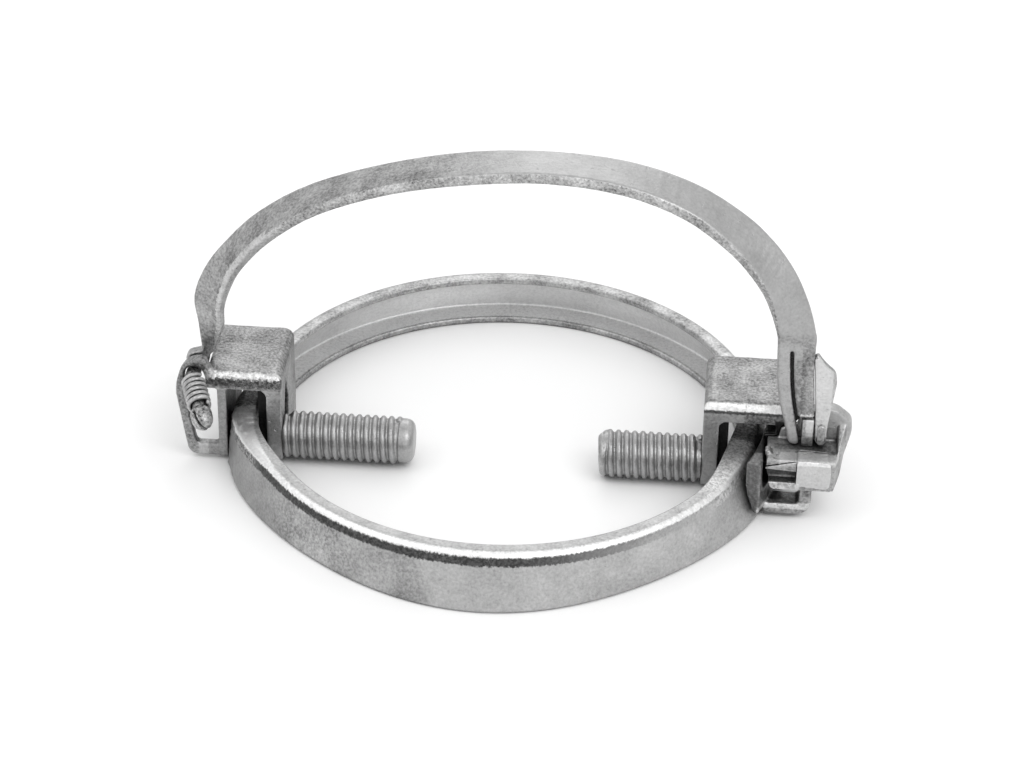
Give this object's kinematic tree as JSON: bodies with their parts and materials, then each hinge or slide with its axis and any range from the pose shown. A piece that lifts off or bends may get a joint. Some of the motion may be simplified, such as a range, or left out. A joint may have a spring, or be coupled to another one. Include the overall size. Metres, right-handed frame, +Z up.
{
  "type": "hinged bail clamp",
  "caption": "Low flared channel ring with folded saddles, inward-pointing threaded studs and a flat strap bail, hinged at one side and latched by a fork at the other.",
  "frame": {"origin": "centre of the ring in the plane of its foot", "axes": "+Z up along the ring's axis, +X from the hinge side to the latch side, -Y to the side where the wire-bound rod points"},
  "size_m": [0.1401, 0.1152, 0.0753],
  "materials": {
    "band_steel": "fine-grained zinc-coated satin",
    "saddle_steel": "blasted satin with bright rounded edges",
    "stud_steel": "bright rolled thread",
    "bail_steel": "fine-grained satin",
    "wire_steel": "dull drawn wire",
    "latch_steel": "satin with bright worn edges"
  },
  "bodies": {
    "clamp": {"ring_band": "band_steel", "left_saddle": "saddle_steel", "right_saddle": "saddle_steel", "left_stud": "stud_steel", "right_stud": "stud_steel", "latch_block": "latch_steel", "latch_wedge": "latch_steel", "keeper_post": "latch_steel", "catch_pin": "latch_steel"},
    "bail": {"bail_strap": "bail_steel", "hinge_rod": "bail_steel", "binding_wire": "wire_steel"},
    "catch": {"catch_lever": "latch_steel"}
  },
  "joints": [
    {"name": "bail_hinge", "type": "hinge", "parent": "clamp", "child": "bail", "pos_m": [-0.0637, -0.0076, 0.0208], "axis": [0, -1, 0], "range_deg": [0, 105]},
    {"name": "catch_hinge", "type": "hinge", "parent": "clamp", "child": "catch", "pos_m": [0.06594, -0.01287, 0.0164], "axis": [0, 1, 0], "range_deg": [0, 30]}
  ]
}
